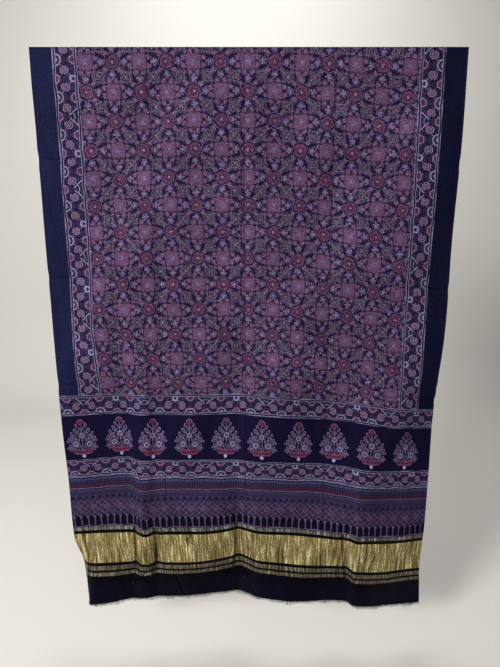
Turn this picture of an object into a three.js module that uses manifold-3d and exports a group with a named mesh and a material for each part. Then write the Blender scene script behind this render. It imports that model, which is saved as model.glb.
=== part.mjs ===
// Ajrakh cloth: the decorated end of a long block-printed cloth, hanging from its straight top edge.
// Millimetres, +Z up, +X to the right of the printed face, which looks towards -Y.
// The origin is the middle of the top edge.
import * as THREE from 'three';
import { mergeVertices } from 'three/addons/utils/BufferGeometryUtils.js';
import Module from 'manifold-3d';

const CLOTH_WIDTH = 1160;
const CLOTH_LENGTH = 1640;
const CLOTH_THICKNESS = 1.2;

// Depth of the hang is measured towards the viewer, at these heights below the top edge.
// Above the first height the cloth hangs flat but for its soft creases.
const FOLD_HEIGHTS = [600, 955, 1200, 1410, 1520, 1640];

// One row for each line that runs down the cloth: where it lies across the flat cloth,
// how far the cloth stands forward there at each fold height, and how softly it bends.
const FOLDS = [
  { name: 'left edge', across: -580, forward: [0, 0, 2, 5, -20, -24], soft: 8 },
  { name: 'left turn', across: -546, forward: [0, 0, 2, 2, 3, 8], soft: 8 },
  { name: 'left corner', across: -525, forward: [0, -2, 0, 0, 3, 28], soft: 8 },
  { name: 'left panel', across: -465, forward: [0, -7, -12, -7, -7, 18], soft: 30 },
  { name: 'left hollow', across: -392, forward: [0, -13, -22, -17, -18, 0], soft: 10 },
  { name: 'pleat front', across: -368, forward: [0, -2, -3, -2, 5, 6], soft: 8 },
  { name: 'pleat crown', across: -340, forward: [0, 8, 12, 16, 4, 4], soft: 8 },
  { name: 'pleat back', across: -314, forward: [0, 9, 11, -4, -13, -8], soft: 8 },
  { name: 'pleat foot', across: -296, forward: [0, -2, -3, 2, -4, -8], soft: 10 },
  { name: 'middle flat', across: -162, forward: [0, -2, 5, -3, -9, -4], soft: 60 },
  { name: 'valley brow', across: -77, forward: [0, -6, -3, -12, -22, -18], soft: 25 },
  { name: 'valley', across: -40, forward: [0, -14, -9, -25, -42, -26], soft: 8 },
  { name: 'valley foot', across: 30, forward: [0, 5, 14, 9, 1, 8], soft: 18 },
  { name: 'right flat', across: 140, forward: [0, 5, 12, 2, -4, 4], soft: 50 },
  { name: 'right hollow', across: 240, forward: [0, -10, -2, -10, -16, -2], soft: 40 },
  { name: 'step foot', across: 322, forward: [0, -3, 4, 1, -9, -6], soft: 7 },
  { name: 'step brow', across: 345, forward: [0, 4, 12, 18, 14, 15], soft: 7 },
  { name: 'right bulge', across: 410, forward: [0, 15, 12, 8, 7, 14], soft: 40 },
  { name: 'right ease', across: 490, forward: [0, -2, -5, -8, -7, -2], soft: 40 },
  { name: 'right edge', across: 580, forward: [0, -24, -32, -28, -28, -20], soft: 20 },
];

// Soft troughs left by storage, straight down the cloth and straight across it.
const DOWN_CREASES = [
  { name: 'left crease', across: -262, depth: 3.5, half: 13, from: 40, to: 1000 },
  { name: 'middle crease', across: -12, depth: 3, half: 13, from: 40, to: 1000 },
  { name: 'right crease', across: 235, depth: 3, half: 14, from: 40, to: 1000 },
  { name: 'outer crease', across: -392, depth: 2.5, half: 16, from: 560, to: 900 },
];
const CREASE_FADE = 120;
const CROSS_CREASES = [
  { name: 'upper crease', down: 272, depth: 3.5, half: 15 },
  { name: 'middle crease', down: 598, depth: 3.5, half: 15 },
  { name: 'lower crease', down: 920, depth: 4, half: 15 },
];

// Long shallow waves over the whole hang.
const WAVES = [
  { across: 610, down: 900, height: 5, turn: 0.6 },
  { across: 330, down: 640, height: 3, turn: 2.1 },
  { across: 210, down: 430, height: 1.6, turn: 4.4 },
];
const WAVE_START = 220;

// The held top edge is straight, and the folds and creases grow in over this height.
const TOP_FLAT = 60;

// How far each weft thread hangs below its level in the middle, at the left and right edges.
const SAG = [
  { down: 0, left: 5, right: 20 },
  { down: 400, left: 7, right: 24 },
  { down: 700, left: 1, right: 46 },
  { down: 950, left: 0, right: 56 },
  { down: 1100, left: 0, right: 50 },
  { down: 1300, left: 0, right: 46 },
  { down: 1700, left: 0, right: 36 },
];
const SAG_LEFT_FROM = -150;
const SAG_RIGHT_FROM = 40;
const SAG_LEFT_POWER = 1.3;
const SAG_RIGHT_POWER = 1.1;
const SAG_BLEND = 160;

// The cloth keeps its place sideways here, and folds draw it in from both sides.
const STILL_LINE = 100;
const STEEPEST = 0.96;
const MEASURE_STEP = 2;

// Grid of the solid.
const COLUMN_STEP = 42;
const COLUMN_LEAST = 9;
const CREASE_SHARP = 10;
const ROW_STEP_TOP = 68;
const ROW_STEP_LOW = 38;
const ROW_LEAST = 12;
const LOW_PART_FROM = 940;

const FRINGE_GAP = 0.3;
const FRINGE_STRIP = 3;
const LOCKS = 232;
const LOCK_SIDES = 3;
const LOCK_WIDTH = 2.3;
const LOCK_DEPTH = 0.8;
const LOCK_TIP = 0.45;
const LOCK_SHORT = 7;
const LOCK_LONG = 14;
const LOCK_LEAN = 0.22;
const LOCK_ROOT = 1.6;

const half = CLOTH_WIDTH / 2;

function smooth(from, to, value) {
  const t = Math.min(1, Math.max(0, (value - from) / (to - from)));
  return t * t * (3 - 2 * t);
}

// A smooth curve through a fold's depths at the fold heights.
function foldDepth(depths, down) {
  const last = FOLD_HEIGHTS.length - 1;
  if (down <= FOLD_HEIGHTS[0]) return depths[0];
  let i = 0;
  while (i < last - 1 && down > FOLD_HEIGHTS[i + 1]) i += 1;
  const slopeAt = (k) => {
    if (k === 0) return 0;
    const before = k - 1;
    const after = Math.min(k + 1, last);
    return (depths[after] - depths[before]) / (FOLD_HEIGHTS[after] - FOLD_HEIGHTS[before]);
  };
  const span = FOLD_HEIGHTS[i + 1] - FOLD_HEIGHTS[i];
  const s = Math.min(1, (down - FOLD_HEIGHTS[i]) / span);
  const past = Math.max(0, down - FOLD_HEIGHTS[last]);
  const start = (2 * s ** 3 - 3 * s ** 2 + 1) * depths[i] + (s ** 3 - 2 * s ** 2 + s) * span * slopeAt(i);
  const end = (3 * s ** 2 - 2 * s ** 3) * depths[i + 1] + (s ** 3 - s ** 2) * span * slopeAt(i + 1);
  return start + end + past * slopeAt(last);
}

function trough(distance, reach) {
  return Math.exp(-((distance / reach) ** 2));
}

function sagAt(across, down) {
  let i = 0;
  while (i < SAG.length - 2 && down > SAG[i + 1].down) i += 1;
  const t = Math.min(1, Math.max(0, (down - SAG[i].down) / (SAG[i + 1].down - SAG[i].down)));
  const left = SAG[i].left + t * (SAG[i + 1].left - SAG[i].left);
  const right = SAG[i].right + t * (SAG[i + 1].right - SAG[i].right);
  const toLeft = Math.max(0, (SAG_LEFT_FROM - across) / (SAG_LEFT_FROM + half));
  const toRight = Math.max(0, (across - SAG_RIGHT_FROM) / (half - SAG_RIGHT_FROM));
  return left * toLeft ** SAG_LEFT_POWER + right * toRight ** SAG_RIGHT_POWER;
}

// Forward depth of the hang across one level, as a function of the place across the flat cloth.
function depthProfile(down) {
  const depths = FOLDS.map((fold) => foldDepth(fold.forward, down));
  const bends = [];
  let slopeBefore = 0;
  for (let i = 0; i < FOLDS.length - 1; i += 1) {
    const slope = (depths[i + 1] - depths[i]) / (FOLDS[i + 1].across - FOLDS[i].across);
    bends.push({ across: FOLDS[i].across, turn: slope - slopeBefore, soft: i === 0 ? 0 : FOLDS[i].soft });
    slopeBefore = slope;
  }
  const loose = smooth(0, WAVE_START, down);
  return (across) => {
    let depth = depths[0];
    for (const bend of bends) {
      const s = across - bend.across;
      depth += bend.turn * 0.5 * (s + Math.sqrt(s * s + bend.soft * bend.soft));
    }
    for (const crease of DOWN_CREASES) {
      const begun = smooth(crease.from, crease.from + CREASE_FADE, down);
      const ended = smooth(crease.to - CREASE_FADE, crease.to, down);
      depth -= crease.depth * begun * (1 - ended) * trough(across - crease.across, crease.half);
    }
    for (const crease of CROSS_CREASES) {
      depth -= crease.depth * trough(down - crease.down - sagAt(across, crease.down), crease.half);
    }
    for (const wave of WAVES) {
      const phase = (across / wave.across + down / wave.down) * Math.PI * 2 + wave.turn;
      depth += wave.height * loose * Math.sin(phase);
    }
    return depth * smooth(0, TOP_FLAT, down);
  };
}

// The hang across one level: place sideways and forward, and the way the cloth faces,
// found by walking along the cloth so that it keeps its woven width round every fold.
const levels = new Map();
function levelOf(down) {
  const key = down.toFixed(3);
  if (levels.has(key)) return levels.get(key);
  const profile = depthProfile(down);
  const count = Math.round(CLOTH_WIDTH / MEASURE_STEP);
  const sideways = [0];
  const steep = [];
  for (let i = 0; i < count; i += 1) {
    const across = -half + i * MEASURE_STEP;
    const rise = (profile(across + MEASURE_STEP) - profile(across)) / MEASURE_STEP;
    const slope = Math.min(STEEPEST, Math.max(-STEEPEST, rise));
    steep.push(slope);
    sideways.push(sideways[i] + MEASURE_STEP * Math.sqrt(1 - slope * slope));
  }
  const place = (across) => {
    const t = Math.min(count - 1e-6, Math.max(0, (across + half) / MEASURE_STEP));
    const i = Math.floor(t);
    return sideways[i] + (t - i) * (sideways[i + 1] - sideways[i]);
  };
  const still = place(STILL_LINE) - STILL_LINE;
  const level = (across) => {
    const i = Math.min(count - 1, Math.max(0, Math.round((across + half) / MEASURE_STEP - 0.5)));
    return { x: place(across) - still, forward: profile(across), slope: steep[i] };
  };
  levels.set(key, level);
  return level;
}

// A point of the hanging cloth: weft is its woven distance below the top edge,
// layer runs from -0.5 at the back to 0.5 at the printed face.
function hangPoint(across, weft, layer) {
  const down = weft + sagAt(across, weft) * smooth(0, SAG_BLEND, weft);
  const { x, forward, slope } = levelOf(Math.round(down))(across);
  const facing = Math.sqrt(1 - slope * slope);
  const out = layer * CLOTH_THICKNESS;
  return new THREE.Vector3(x - slope * out, -forward - facing * out, -down);
}

function spread(places, least) {
  const kept = [];
  const ends = [Math.min(...places), Math.max(...places)];
  for (const place of [...places].sort((a, b) => a - b)) {
    const clear = kept.length === 0 || place - kept[kept.length - 1] >= least;
    const nearEnd = place !== ends[1] && ends[1] - place < least;
    if (clear && !nearEnd) kept.push(place);
  }
  return kept;
}

function clothColumns() {
  const places = [];
  for (const fold of FOLDS) {
    places.push(fold.across);
    if (fold.soft <= CREASE_SHARP && Math.abs(fold.across) < half) {
      places.push(fold.across - fold.soft, fold.across + fold.soft);
    }
  }
  for (const crease of DOWN_CREASES) {
    places.push(crease.across - crease.half, crease.across, crease.across + crease.half);
  }
  for (let across = -half; across < half; across += COLUMN_STEP) {
    if (places.every((place) => Math.abs(place - across) > COLUMN_STEP / 2)) places.push(across);
  }
  return spread(places, COLUMN_LEAST);
}

function clothRows() {
  const places = [0, CLOTH_LENGTH];
  for (const crease of CROSS_CREASES) {
    places.push(crease.down - crease.half, crease.down, crease.down + crease.half);
  }
  let down = 0;
  while (down < CLOTH_LENGTH) {
    if (places.every((place) => Math.abs(place - down) > ROW_STEP_LOW / 2)) places.push(down);
    down += down < LOW_PART_FROM ? ROW_STEP_TOP : ROW_STEP_LOW;
  }
  return spread(places, ROW_LEAST);
}

// A slab with a corner for each column and row on its back and on its printed face. Both faces
// are cut along the same diagonals, so that they never pass through each other.
function sheetGeometry(columns, rows) {
  const wide = columns.length;
  const tall = rows.length;
  const corners = [];
  for (const layer of [-0.5, 0.5]) {
    for (const row of rows) {
      for (const column of columns) corners.push(hangPoint(column, row, layer));
    }
  }
  const back = (column, row) => row * wide + column;
  const front = (column, row) => back(column, row) + wide * tall;
  const faces = [];
  const quad = (a, b, c, d) => faces.push(a, b, c, a, c, d);
  for (let row = 0; row < tall - 1; row += 1) {
    for (let column = 0; column < wide - 1; column += 1) {
      const [left, right, upper, lower] = [column, column + 1, row, row + 1];
      quad(front(left, upper), front(left, lower), front(right, lower), front(right, upper));
      quad(back(right, lower), back(left, lower), back(left, upper), back(right, upper));
    }
  }
  for (let column = 0; column < wide - 1; column += 1) {
    const [left, right, last] = [column, column + 1, tall - 1];
    quad(front(left, 0), front(right, 0), back(right, 0), back(left, 0));
    quad(front(right, last), front(left, last), back(left, last), back(right, last));
  }
  for (let row = 0; row < tall - 1; row += 1) {
    const [upper, lower, last] = [row, row + 1, wide - 1];
    quad(front(0, upper), back(0, upper), back(0, lower), front(0, lower));
    quad(front(last, lower), back(last, lower), back(last, upper), front(last, upper));
  }
  const slab = new THREE.BufferGeometry().setFromPoints(corners);
  slab.setIndex(faces);
  return slab;
}

// Repeatable uneven numbers from 0 to 1 for the frayed locks.
function uneven(seed) {
  const wave = Math.sin(seed * 127.1 + 11.7) * 43758.5453;
  return wave - Math.floor(wave);
}

// A point on the strip's own straight facets, where a lock takes root.
function stripPoint(columns, across, weft) {
  let i = 0;
  while (i < columns.length - 2 && across > columns[i + 1]) i += 1;
  const t = (across - columns[i]) / (columns[i + 1] - columns[i]);
  return hangPoint(columns[i], weft, 0).lerp(hangPoint(columns[i + 1], weft, 0), t);
}

function lockGeometry(columns, index) {
  const pitch = (CLOTH_WIDTH - 4 * LOCK_WIDTH) / (LOCKS - 1);
  const across = -half + 2 * LOCK_WIDTH + index * pitch + (uneven(index) - 0.5) * pitch * 0.25;
  const length = LOCK_SHORT + (LOCK_LONG - LOCK_SHORT) * uneven(index + 500);
  const lean = (uneven(index + 900) - 0.5) * 2 * LOCK_LEAN;
  const root = CLOTH_LENGTH + FRINGE_GAP + FRINGE_STRIP - LOCK_ROOT;
  const lock = new THREE.CylinderGeometry(LOCK_WIDTH / 2, (LOCK_WIDTH / 2) * LOCK_TIP, length, LOCK_SIDES);
  lock.deleteAttribute('normal');
  lock.deleteAttribute('uv');
  lock.translate(0, -length / 2, 0);
  lock.scale(1, 1, LOCK_DEPTH / (LOCK_WIDTH * 0.75));
  lock.rotateX(Math.PI / 2);
  lock.rotateY(lean);
  const from = stripPoint(columns, across - LOCK_WIDTH / 2, root);
  const to = stripPoint(columns, across + LOCK_WIDTH / 2, root);
  lock.rotateZ(Math.atan2(to.y - from.y, to.x - from.x));
  const place = stripPoint(columns, across, root);
  lock.translate(place.x, place.y, place.z);
  return mergeVertices(lock);
}

function toSolid(wasm, geometry) {
  const vertProperties = new Float32Array(geometry.getAttribute('position').array);
  const triVerts = new Uint32Array(geometry.getIndex().array);
  return new wasm.Manifold(new wasm.Mesh({ numProp: 3, vertProperties, triVerts }));
}

function fromSolid(solid) {
  const mesh = solid.getMesh();
  const geometry = new THREE.BufferGeometry();
  geometry.setAttribute('position', new THREE.BufferAttribute(mesh.vertProperties, 3));
  geometry.setIndex(new THREE.BufferAttribute(mesh.triVerts, 1));
  return geometry;
}

function fringeGeometry(wasm, columns) {
  const top = CLOTH_LENGTH + FRINGE_GAP;
  const strip = toSolid(wasm, sheetGeometry(columns, [top, top + FRINGE_STRIP]));
  const locks = Array.from({ length: LOCKS }, (_, index) => toSolid(wasm, lockGeometry(columns, index)));
  return fromSolid(wasm.Manifold.union([strip, ...locks]));
}

function named(name, geometry, material) {
  const mesh = new THREE.Mesh(geometry, material);
  mesh.name = name;
  return mesh;
}

const wasm = await Module();
wasm.setup();

const printedCloth = new THREE.MeshStandardMaterial({ color: 0x33284a, roughness: 0.62, metalness: 0 });
const navyYarn = new THREE.MeshStandardMaterial({ color: 0x0b0b1c, roughness: 0.8, metalness: 0 });

const columns = clothColumns();
const ajrakhCloth = new THREE.Group();
ajrakhCloth.add(named('cloth', sheetGeometry(columns, clothRows()), printedCloth));
ajrakhCloth.add(named('fringe', fringeGeometry(wasm, columns), navyYarn));

export default ajrakhCloth;
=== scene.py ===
import math

import bpy
import numpy as np
from bpy.props import FloatProperty, FloatVectorProperty, IntProperty, PointerProperty
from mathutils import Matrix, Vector


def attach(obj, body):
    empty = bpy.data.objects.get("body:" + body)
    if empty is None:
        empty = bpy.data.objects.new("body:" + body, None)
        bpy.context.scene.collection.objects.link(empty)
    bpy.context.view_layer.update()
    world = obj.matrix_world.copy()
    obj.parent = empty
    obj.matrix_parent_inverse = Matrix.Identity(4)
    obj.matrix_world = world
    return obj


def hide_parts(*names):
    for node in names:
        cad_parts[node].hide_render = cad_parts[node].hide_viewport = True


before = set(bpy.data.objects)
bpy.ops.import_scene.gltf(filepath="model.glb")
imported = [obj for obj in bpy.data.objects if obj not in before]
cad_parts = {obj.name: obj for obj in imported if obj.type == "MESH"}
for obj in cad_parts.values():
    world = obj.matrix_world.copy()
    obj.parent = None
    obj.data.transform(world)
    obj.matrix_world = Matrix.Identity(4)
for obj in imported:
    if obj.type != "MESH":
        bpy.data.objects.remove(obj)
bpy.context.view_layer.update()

bl_info = {
    "name": "Ajrakh Cloth",
    "version": (1, 0, 0),
    "blender": (4, 5, 0),
    "location": "3D View > Sidebar > Ajrakh",
    "description": "Hangs a block-printed ajrakh cloth with its gold-striped end",
    "category": "Object",
}

MM = 0.001

# Heights below the top edge at which the table of folds gives how far the cloth stands forward.
# These tables are in millimetres.
FOLD_HEIGHTS = (600, 955, 1200, 1410, 1520, 1640)

# name, place across the flat cloth, forward at each height, how softly it bends there
FOLDS = (
    ("left edge", -580, (0, 0, 2, 5, -20, -24), 8),
    ("left turn", -546, (0, 0, 2, 2, 3, 8), 8),
    ("left corner", -525, (0, -2, 0, 0, 3, 28), 8),
    ("left panel", -465, (0, -7, -12, -7, -7, 18), 30),
    ("left hollow", -392, (0, -13, -22, -17, -18, 0), 10),
    ("pleat front", -368, (0, -2, -3, -2, 5, 6), 8),
    ("pleat crown", -340, (0, 8, 12, 16, 4, 4), 8),
    ("pleat back", -314, (0, 9, 11, -4, -13, -8), 8),
    ("pleat foot", -296, (0, -2, -3, 2, -4, -8), 10),
    ("middle flat", -162, (0, -2, 5, -3, -9, -4), 60),
    ("valley brow", -77, (0, -6, -3, -12, -22, -18), 25),
    ("valley", -40, (0, -14, -9, -25, -42, -26), 8),
    ("valley foot", 30, (0, 5, 14, 9, 1, 8), 18),
    ("right flat", 140, (0, 5, 12, 2, -4, 4), 50),
    ("right hollow", 240, (0, -10, -2, -10, -16, -2), 40),
    ("step foot", 322, (0, -3, 4, 1, -9, -6), 7),
    ("step brow", 345, (0, 4, 12, 18, 14, 15), 7),
    ("right bulge", 410, (0, 15, 12, 8, 7, 14), 40),
    ("right ease", 490, (0, -2, -5, -8, -7, -2), 40),
    ("right edge", 580, (0, -24, -32, -28, -28, -20), 20),
)

# Soft troughs from storage: place, depth, half width, and where those down the cloth start and end.
DOWN_CREASES = (
    ("left crease", -262, 3.5, 13, 40, 1000),
    ("middle crease", -12, 3, 13, 40, 1000),
    ("right crease", 235, 3, 14, 40, 1000),
    ("outer crease", -392, 2.5, 16, 560, 900),
)
CREASE_FADE = 120
CROSS_CREASES = (
    ("upper crease", 272, 3.5, 15),
    ("middle crease", 598, 3.5, 15),
    ("lower crease", 920, 4, 15),
)

# Long shallow waves: length across, length down, height, turn.
WAVES = ((610, 900, 5, 0.6), (330, 640, 3, 2.1), (210, 430, 1.6, 4.4))
WAVE_START = 220
TOP_FLAT = 60

# How far each weft thread hangs below its level in the middle: height, at the left edge, at the right edge.
SAG = ((0, 5, 20), (400, 7, 24), (700, 1, 46), (950, 0, 56), (1100, 0, 50), (1300, 0, 46), (1700, 0, 36))
SAG_LEFT_FROM = -150
SAG_RIGHT_FROM = 40
SAG_LEFT_POWER = 1.3
SAG_RIGHT_POWER = 1.1
SAG_BLEND = 160

STILL_LINE = 100
STEEPEST = 0.96
MEASURE_STEP = 2
LEVEL_STEP = 4
LEVEL_LAST = 1760

# Small wrinkles of the finished sheet: name, across, down, length, turn from level in degrees,
# height (a trough is below zero) and half width.
WRINKLES = (
    ("crossing ridge", -268, 470, 110, 84, 2.2, 7),
    ("margin dent", -552, 240, 120, 62, -1.8, 11),
    ("margin ridge", -545, 300, 150, 55, 1.6, 10),
    ("margin ease", -548, 420, 160, 70, -1.5, 12),
    ("margin low ease", -550, 620, 180, 78, 1.8, 13),
    ("field pull left", -420, 700, 200, 80, -1.6, 16),
    ("field pull right", 380, 480, 240, 96, 1.8, 18),
    ("field pull low", 120, 800, 260, 93, -1.6, 17),
    ("edge curl", 560, 760, 220, 88, -2.0, 12),
    ("tree pull one", -118, 1080, 150, 88, -1.8, 13),
    ("tree pull two", -10, 1070, 170, 95, 1.8, 12),
    ("tree pull three", 200, 1090, 160, 86, -1.6, 15),
    ("tree pull four", 430, 1100, 160, 94, 1.5, 15),
    ("pleat fold left", -390, 1470, 190, 94, -4.5, 5.5),
    ("pleat fold right", -314, 1465, 190, 95, -4.5, 5.5),
    ("pleat ridge", -352, 1500, 130, 75, 2.5, 6),
    ("valley fold", -51, 1500, 170, 98, -4.5, 6),
    ("step fold", 306, 1476, 190, 82, -5, 6),
    ("end pull one", -430, 1600, 120, 60, 3.2, 10),
    ("end pull two", -230, 1590, 110, 118, -3.4, 10),
    ("end pull three", -100, 1600, 110, 62, 3.4, 9),
    ("end pull four", -30, 1600, 100, 128, -3.2, 9),
    ("end pull five", 110, 1605, 110, 70, 3, 11),
    ("end pull six", 290, 1600, 100, 110, -3.2, 10),
    ("end pull seven", 470, 1600, 120, 74, 2.8, 11),
)


def as_colour(red, green, blue):
    """A colour as it looks on a screen, from 0 to 255, as the light that it gives."""
    parts = []
    for value in (red, green, blue):
        share = value / 255
        parts.append(share / 12.92 if share <= 0.04045 else ((share + 0.055) / 1.055) ** 2.4)
    return tuple(parts)


def colour_setting(name, description, red, green, blue):
    return FloatVectorProperty(
        name=name, description=description, subtype="COLOR", size=3, min=0, max=1,
        default=as_colour(red, green, blue),
    )


class ClothSizes(bpy.types.PropertyGroup):
    width: FloatProperty(
        name="Width", description="Woven width of the flat cloth", default=1.16, unit="LENGTH",
    )
    length: FloatProperty(
        name="Length", description="Cut length of the flat cloth", default=1.64, unit="LENGTH",
    )
    thickness: FloatProperty(
        name="Thickness", description="Thickness of the woven sheet", default=0.0007, unit="LENGTH",
    )
    columns: IntProperty(name="Columns", description="Cells across the sheet", default=212)
    rows: IntProperty(name="Rows", description="Cells down the sheet", default=232)


class PrintColours(bpy.types.PropertyGroup):
    ground: colour_setting("Ground", "Indigo ground of the cloth", 18, 20, 50)
    # Painted shade: this darker indigo makes the cloth darker towards the right, the side that gets less
    # light.
    shaded_right_ground: colour_setting("Right ground", "Indigo where it was dyed deeper, at the right", 11, 12, 35)
    end_ground: colour_setting("End ground", "Indigo of the band of trees", 13, 9, 37)
    gap: colour_setting("Gap", "Navy gaps of the print", 21, 15, 44)
    dark: colour_setting("Dark", "Deep purple between the leaves", 36, 22, 50)
    mauve: colour_setting("Mauve", "Common purple of the print", 84, 59, 88)
    rose: colour_setting("Rose", "Warm pink purple", 114, 71, 100)
    worn: colour_setting("Worn", "Mean colour where the print ran together", 88, 62, 90)
    lilac: colour_setting("Lilac", "Pale violet of petals", 96, 82, 122)
    outline: colour_setting("Outline", "Soft pale outlines", 102, 86, 116)
    leaf: colour_setting("Leaf", "Leaves of the tree", 60, 48, 76)
    leaf_line: colour_setting("Leaf line", "Outlines of the tree's leaves", 106, 93, 124)
    border_line: colour_setting("Border line", "Pale lines of the borders", 112, 106, 134)
    border_bright: colour_setting("Border bright", "Palest lines of the borders", 128, 122, 154)
    border_fill: colour_setting("Border fill", "Flowers of the borders", 52, 46, 78)
    border_red: colour_setting("Border red", "Red of the borders", 100, 46, 70)
    lines: colour_setting("Lines", "Pale resist lines", 124, 114, 144)
    bright: colour_setting("Bright", "Palest resist", 140, 134, 172)
    madder: colour_setting("Madder", "Dull madder red", 104, 46, 70)
    maroon: colour_setting("Maroon", "Dark madder red", 58, 20, 46)
    ochre: colour_setting("Ochre", "Brownish dots", 106, 92, 100)
    olive: colour_setting("Olive", "Greyish green lines", 88, 88, 102)
    teal: colour_setting("Teal", "Greenish blue leaves of the borders", 34, 44, 74)
    slate: colour_setting("Slate", "Pale blue grey lines", 60, 60, 90)
    redband: colour_setting("Red band", "Thin red band of the end", 62, 36, 54)
    lancet: colour_setting("Lancet", "Dark lancets above the gold", 8, 5, 26)
    violet: colour_setting("Violet", "Ground of the dotted lattice", 48, 37, 63)
    full_gold: colour_setting("Full gold", "Tint of the wide stripe", 255, 255, 255)
    gold: colour_setting("Gold", "Woven gold", 150, 134, 90)
    # The glint, half shade and shade of the gold are painted highlight and painted shade of its crushed
    # streaks.
    glint: colour_setting("Glint", "Lit streaks of the gold", 236, 226, 172)
    gold_half_shade: colour_setting("Gold half shade", "Half-lit gold", 112, 98, 60)
    gold_shade: colour_setting("Gold shade", "Dark streaks of the gold", 58, 46, 24)
    silver: colour_setting("Silver", "Tint of the top stripe", 174, 188, 255)
    dull_gold: colour_setting("Dull gold", "Tint of the two low stripes", 166, 172, 206)
    black: colour_setting("Black", "Bands between the gold", 3, 2, 8)
    hem: colour_setting("Hem", "Navy end below the gold", 5, 5, 20)
    reverse: colour_setting("Reverse", "Cloth where the print is weak, on the back", 34, 30, 62)


class ClothFinish(bpy.types.PropertyGroup):
    roughness: FloatProperty(name="Roughness", description="Roughness of the printed cloth", default=0.72)
    gloss: FloatProperty(name="Gloss", description="Strength of the cloth's highlight", default=0.04)
    gold_roughness: FloatProperty(
        name="Gold roughness", description="Roughness of the gold weave", default=0.42,
    )


class FringeSizes(bpy.types.PropertyGroup):
    yarns: IntProperty(name="Yarns", description="Loose yarns along the hem", default=1500)
    longest: FloatProperty(
        name="Longest", description="Length of the longest yarn", default=0.0175, unit="LENGTH",
    )
    shortest: FloatProperty(
        name="Shortest", description="Length of the shortest yarn", default=0.007, unit="LENGTH",
    )
    thickness: FloatProperty(
        name="Thickness", description="Thickness of a yarn", default=0.001, unit="LENGTH",
    )
    heading: FloatProperty(
        name="Heading", description="Height of the strip that holds them", default=0.0022, unit="LENGTH",
    )
    seed: IntProperty(name="Seed", description="Start of the uneven lengths", default=7)


class StageSettings(bpy.types.PropertyGroup):
    floor_drop: FloatProperty(
        name="Floor drop", description="How far the floor lies below the top edge", default=1.84,
        unit="LENGTH",
    )
    reach: FloatProperty(name="Reach", description="Half width of the floor", default=6.0, unit="LENGTH")
    wall_back: FloatProperty(
        name="Wall back", description="How far back the wall stands", default=3.2, unit="LENGTH",
    )
    bend: FloatProperty(name="Bend", description="Radius of the floor's bend", default=0.9, unit="LENGTH")
    wall_height: FloatProperty(
        name="Wall height", description="Height of the wall", default=6.0, unit="LENGTH",
    )
    floor_colour: colour_setting("Floor colour", "Colour of the floor and wall", 214, 211, 206)


def smooth_between(low, high, value):
    share = np.clip((value - low) / (high - low), 0, 1)
    return share * share * (3 - 2 * share)


def trough(distance, reach):
    return np.exp(-((distance / reach) ** 2))


def sag_at(across, down):
    """How far the weft hangs below its level in the middle, in millimetres."""
    heights, left, right = zip(*SAG)
    half = -FOLDS[0][1]
    to_left = np.maximum(0, (SAG_LEFT_FROM - across) / (SAG_LEFT_FROM + half)) ** SAG_LEFT_POWER
    to_right = np.maximum(0, (across - SAG_RIGHT_FROM) / (half - SAG_RIGHT_FROM)) ** SAG_RIGHT_POWER
    return np.interp(down, heights, left) * to_left + np.interp(down, heights, right) * to_right


def fold_depth(depths, down):
    """A smooth curve through a fold's depths at the fold heights."""
    last = len(FOLD_HEIGHTS) - 1
    slopes = [0.0]
    for i in range(1, last + 1):
        after = min(i + 1, last)
        slopes.append((depths[after] - depths[i - 1]) / (FOLD_HEIGHTS[after] - FOLD_HEIGHTS[i - 1]))
    depth = np.full_like(down, float(depths[0]))
    for i in range(last):
        span = FOLD_HEIGHTS[i + 1] - FOLD_HEIGHTS[i]
        s = (down - FOLD_HEIGHTS[i]) / span
        start = (2 * s**3 - 3 * s**2 + 1) * depths[i] + (s**3 - 2 * s**2 + s) * span * slopes[i]
        end = (3 * s**2 - 2 * s**3) * depths[i + 1] + (s**3 - s**2) * span * slopes[i + 1]
        depth = np.where((s >= 0) & (s <= 1), start + end, depth)
    past = down - FOLD_HEIGHTS[last]
    return np.where(past > 0, depths[last] + past * slopes[last], depth)


def hang_depth(across, down):
    """How far the hanging cloth stands forward, in millimetres."""
    depths = [fold_depth(fold[2], down) for fold in FOLDS]
    depth = depths[0]
    slope_before = 0
    for i in range(len(FOLDS) - 1):
        _, place, _, soft = FOLDS[i]
        slope = (depths[i + 1] - depths[i]) / (FOLDS[i + 1][1] - place)
        bend = across - place
        depth = depth + (slope - slope_before) * 0.5 * (bend + np.sqrt(bend**2 + (soft if i else 0) ** 2))
        slope_before = slope
    for _, place, deep, half, start, stop in DOWN_CREASES:
        begun = smooth_between(start, start + CREASE_FADE, down)
        ended = smooth_between(stop - CREASE_FADE, stop, down)
        depth = depth - deep * begun * (1 - ended) * trough(across - place, half)
    for _, place, deep, half in CROSS_CREASES:
        depth = depth - deep * trough(down - place - sag_at(across, place), half)
    loose = smooth_between(0, WAVE_START, down)
    for length_across, length_down, height, turn in WAVES:
        phase = (across / length_across + down / length_down) * 2 * math.pi + turn
        depth = depth + height * loose * np.sin(phase)
    return depth * smooth_between(0, TOP_FLAT, down)


def wrinkle_height(across, down):
    """The small wrinkles that the solid cloth leaves out, in millimetres."""
    height = np.zeros_like(across)
    for _, place, at, length, turn, high, half in WRINKLES:
        angle = math.radians(turn)
        along = (across - place) * math.cos(angle) + (down - at) * math.sin(angle)
        beside = (down - at) * math.cos(angle) - (across - place) * math.sin(angle)
        height = height + high * trough(beside, half) * trough(along, length / 2)
    return height * smooth_between(0, TOP_FLAT, down)


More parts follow.
